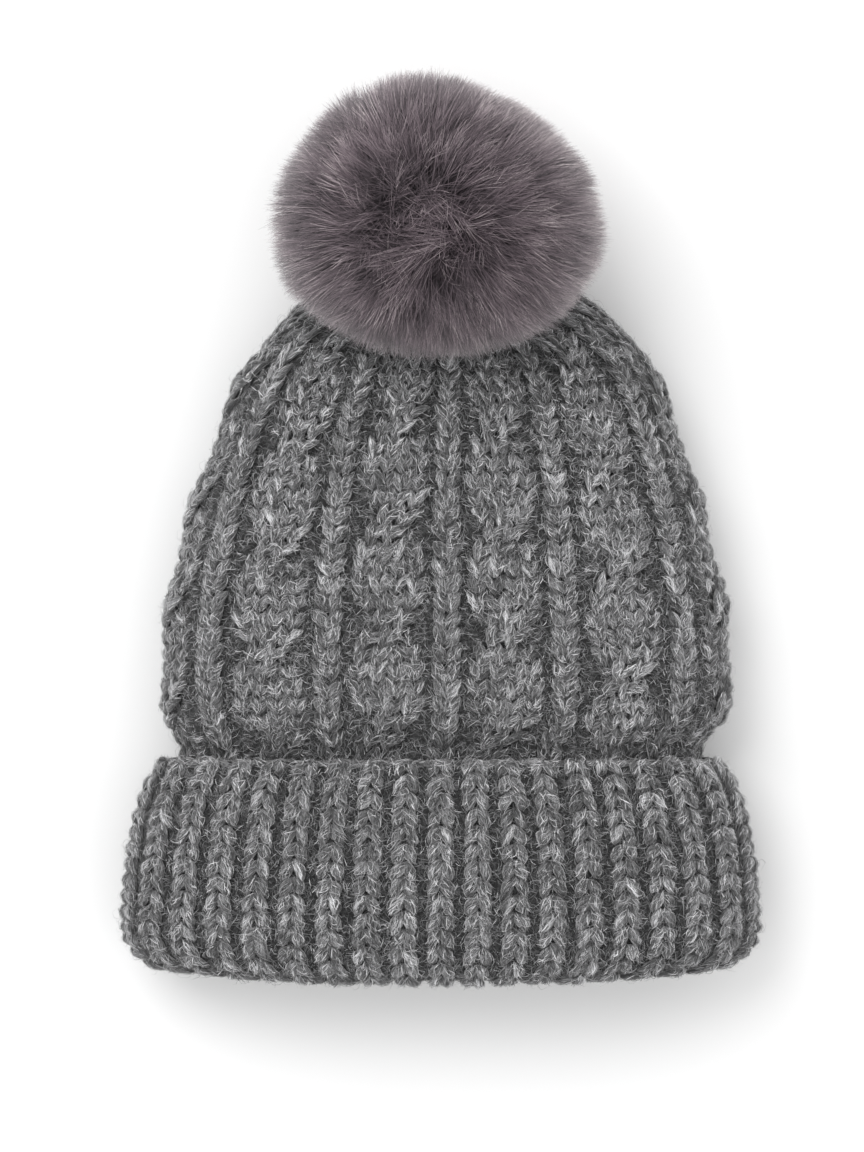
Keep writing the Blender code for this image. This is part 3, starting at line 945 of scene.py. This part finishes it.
def make_label(material):
    """The blank care label: a satin ribbon sewn in at one end, a little curled at the other."""
    low, high = (np.array(corner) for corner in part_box("care_label"))
    across, down = np.meshgrid(np.linspace(0, 1, 12), np.linspace(0, 1, 24))
    curl = 0.0022 * down**3 + 0.0004 * np.sin(9 * down) * (across - 0.5)
    x = low[0] + across * (high[0] - low[0])
    y = high[1] - down * (high[1] - low[1])
    top = np.stack([x, y, low[2] + LABEL_THICKNESS + curl], axis=2)
    bottom = top - np.array((0, 0, LABEL_THICKNESS))
    rows, columns = across.shape
    ring = [(0, c) for c in range(columns)] + [(r, columns - 1) for r in range(1, rows)]
    ring += [(rows - 1, c) for c in range(columns - 2, -1, -1)] + [(r, 0) for r in range(rows - 2, 0, -1)]
    faces = []
    for r in range(rows - 1):
        for c in range(columns - 1):
            a, b = r * columns + c, (r + 1) * columns + c
            faces.append((a, b, b + 1, a + 1))
            faces.append(tuple(rows * columns + v for v in (a + 1, b + 1, b, a)))
    for (r, c), (s, d) in zip(ring, ring[1:] + ring[:1]):
        a, b = r * columns + c, s * columns + d
        faces.append((a, b, b + rows * columns, a + rows * columns))
    points = np.concatenate([top.reshape(-1, 3), bottom.reshape(-1, 3)])
    label = new_mesh("label_ribbon", points, np.array(faces), material, "hat")
    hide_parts("care_label")


def make_inner_pieces():
    """The pom's filling and backing, the label, and materials for the CAD pieces that stay."""
    white, pale = (0.62, 0.61, 0.59), (0.80, 0.79, 0.77)
    filling = fibrous_material("filling_fibre", white, pale, 600, 0.0010)
    stuffing = make_ball("pom_filling", "pom_stuffing", filling, 0.0012, 160, "pom")
    fabric = fibrous_material("fur_fabric", (0.030, 0.024, 0.027), (0.075, 0.060, 0.068), 1400, 0.0006)
    backing = make_ball("pom_fabric", "pom_backing", fabric, 0.0004, 700, "pom")
    ivory, pearl = (0.78, 0.78, 0.77), (0.88, 0.88, 0.87)
    make_label(fibrous_material("satin", ivory, pearl, 2200, 0.0001, 0.45, (8, 1, 1)))
    felt = fibrous_material("felt_disc", (0.020, 0.020, 0.021), (0.055, 0.055, 0.058), 1800, 0.0003)
    thread = fibrous_material("strong_thread", (0.04, 0.04, 0.042), (0.11, 0.11, 0.115), 3000, 0.0002)
    yarn = fibrous_material("gather_yarn", (0.035, 0.035, 0.036), (0.20, 0.20, 0.204), 1500, 0.0004)
    metal = metal_material()
    kept = {"crown_patch": felt, "pom_base_disc": felt, "pom_drawstring": thread, "crown_gather_yarn": yarn}
    for name in ("snap_post", "snap_stud", "snap_spring", "snap_socket", "snap_cap"):
        kept[name] = metal
    kept["back_seam"] = yarn
    for name, material in kept.items():
        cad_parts[name].data.materials[0] = material


# ---------------------------------------------------------------- stage


def make_stage():
    size = 6.0
    mesh = bpy.data.meshes.new("floor")
    corners = [(-size, -size, 0), (size, -size, 0), (size, size, 0), (-size, size, 0)]
    mesh.from_pydata(corners, [], [(0, 1, 2, 3)])
    floor = bpy.data.objects.new("floor", mesh)
    bpy.context.scene.collection.objects.link(floor)
    look = Look("paper", 0.9)
    look.set("Base Color", (0.92, 0.92, 0.92, 1))
    mesh.materials.append(look.material)


def add_area(name, place, size, power):
    data = bpy.data.lights.new(name, "AREA")
    data.shape = "SQUARE"
    data.size = size
    data.energy = power
    lamp = bpy.data.objects.new(name, data)
    lamp.location = place
    lamp.rotation_euler = (Vector((0, 0, 0.03)) - Vector(place)).to_track_quat("-Z", "Y").to_euler()
    bpy.context.scene.collection.objects.link(lamp)


def make_light():
    """A bright even room and one large soft light from the upper left."""
    world = bpy.data.worlds.new("studio")
    world.use_nodes = True
    world.node_tree.nodes["Background"].inputs["Color"].default_value = (1, 1, 1, 1)
    world.node_tree.nodes["Background"].inputs["Strength"].default_value = 1.0
    bpy.context.scene.world = world
    add_area("key", (-0.8, 0.9, 1.6), 1.2, 16)


def make_camera():
    """Straight above the hat, with a long lens."""
    distance, height_shown, level = 1.40, 0.4032, 0.024
    data = bpy.data.cameras.new("camera")
    data.sensor_width = 36
    data.lens = data.sensor_width * distance / height_shown
    data.clip_end = 20
    camera = bpy.data.objects.new("camera", data)
    camera.location = (-0.003, -0.0168, level + distance)
    bpy.context.scene.collection.objects.link(camera)
    bpy.context.scene.camera = camera
    bpy.context.scene.view_settings.view_transform = "Standard"


def make_body(wool, backing, fibre, rng):
    """The knitted tube: a thin wall, stitches on both faces and loose fibres over them."""
    skin = Skin(body_rings(np.linspace(0, len(BODY_STATIONS) - 1, 260)))
    outer = skin.points - skin.normals * KNIT_DEPTH
    inner = skin.points - skin.normals * WALL
    wall = shell("body_fabric", outer, inner, backing, "hat")
    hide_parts("body")
    lining_skin = Skin(inner[skin.run < BAND_TOP + LINING_REACH, ::-1])
    stitches = [*make_cables(skin, wool, rng), make_band(skin, wool, rng)]
    lining = make_lining_rib("band_lining", lining_skin, HAT_LINING_LIFT, wool, "hat", rng)
    lit = lit_surface(stitches, wall)
    span = (BAND_TOP - 0.006, skin.length - 0.006)
    fuzz = make_fuzzes("body_fibres", skin, lit, BODY_FUZZ, span, fibre, "hat", rng)
    under = (0.002, BAND_TOP - 0.006)
    fuzz += make_fuzzes("band_fibres", skin, lit, BAND_FUZZ, under, fibre, "hat", rng)


def make_cuff(wool, backing, fibre, rng):
    """The turned-up rib band."""
    skin = Skin(cuff_rings(CUFF_OUTSIDE, np.linspace(0, len(CUFF_OUTSIDE) - 1, 220)))
    inside = cuff_rings(CUFF_INSIDE, np.linspace(0, len(CUFF_INSIDE) - 1, 60))
    wall = shell("cuff_fabric", skin.points - skin.normals * CUFF_DEPTH, inside[::-1], backing, "cuff")
    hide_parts("cuff")
    rib = make_cuff_rib(skin, wool, rng)
    # This skin faces the cuff's wall, unlike the body's lining, which faces into the hat. So its stitches
    # reach 1.7 to 2.5 mm into the band's rib, out of sight between the two.
    lining_skin = Skin(inside[:, ::-1])
    lining = make_lining_rib("cuff_lining", lining_skin, CUFF_LINING_LIFT, wool, "cuff", rng)
    lit = lit_surface([rib], wall)
    fuzz = make_fuzzes("cuff_fibres", skin, lit, CUFF_FUZZ, (0.002, skin.length), fibre, "cuff", rng)


def make_pom(rng):
    """The pom's fur, in several pieces that share the same locks."""
    fur = fur_material()
    fine = Locks(rng, count=11000, pull=0.45, spread=0.05, tone=0.18)
    middle = Locks(rng, count=2200, pull=0.34, spread=0.10, tone=0.10)
    broad = Locks(rng, count=150, pull=0.10, spread=0.05, tone=0.04)
    pieces, count = FUR
    for k in range(pieces):
        piece = make_fur(f"pom_fur_{k + 1}", count, fur, rng, [fine, middle, broad])
        if k == 0:
            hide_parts("pom_pile")


def main():
    rng = np.random.default_rng(SEED)
    wool, backing, fibre = yarn_material(), painted_shade_backing_material(), fibre_material()
    make_camera()
    make_light()
    make_stage()
    make_body(wool, backing, fibre, rng)
    make_cuff(wool, backing, fibre, rng)
    make_pom(rng)
    make_inner_pieces()


main()
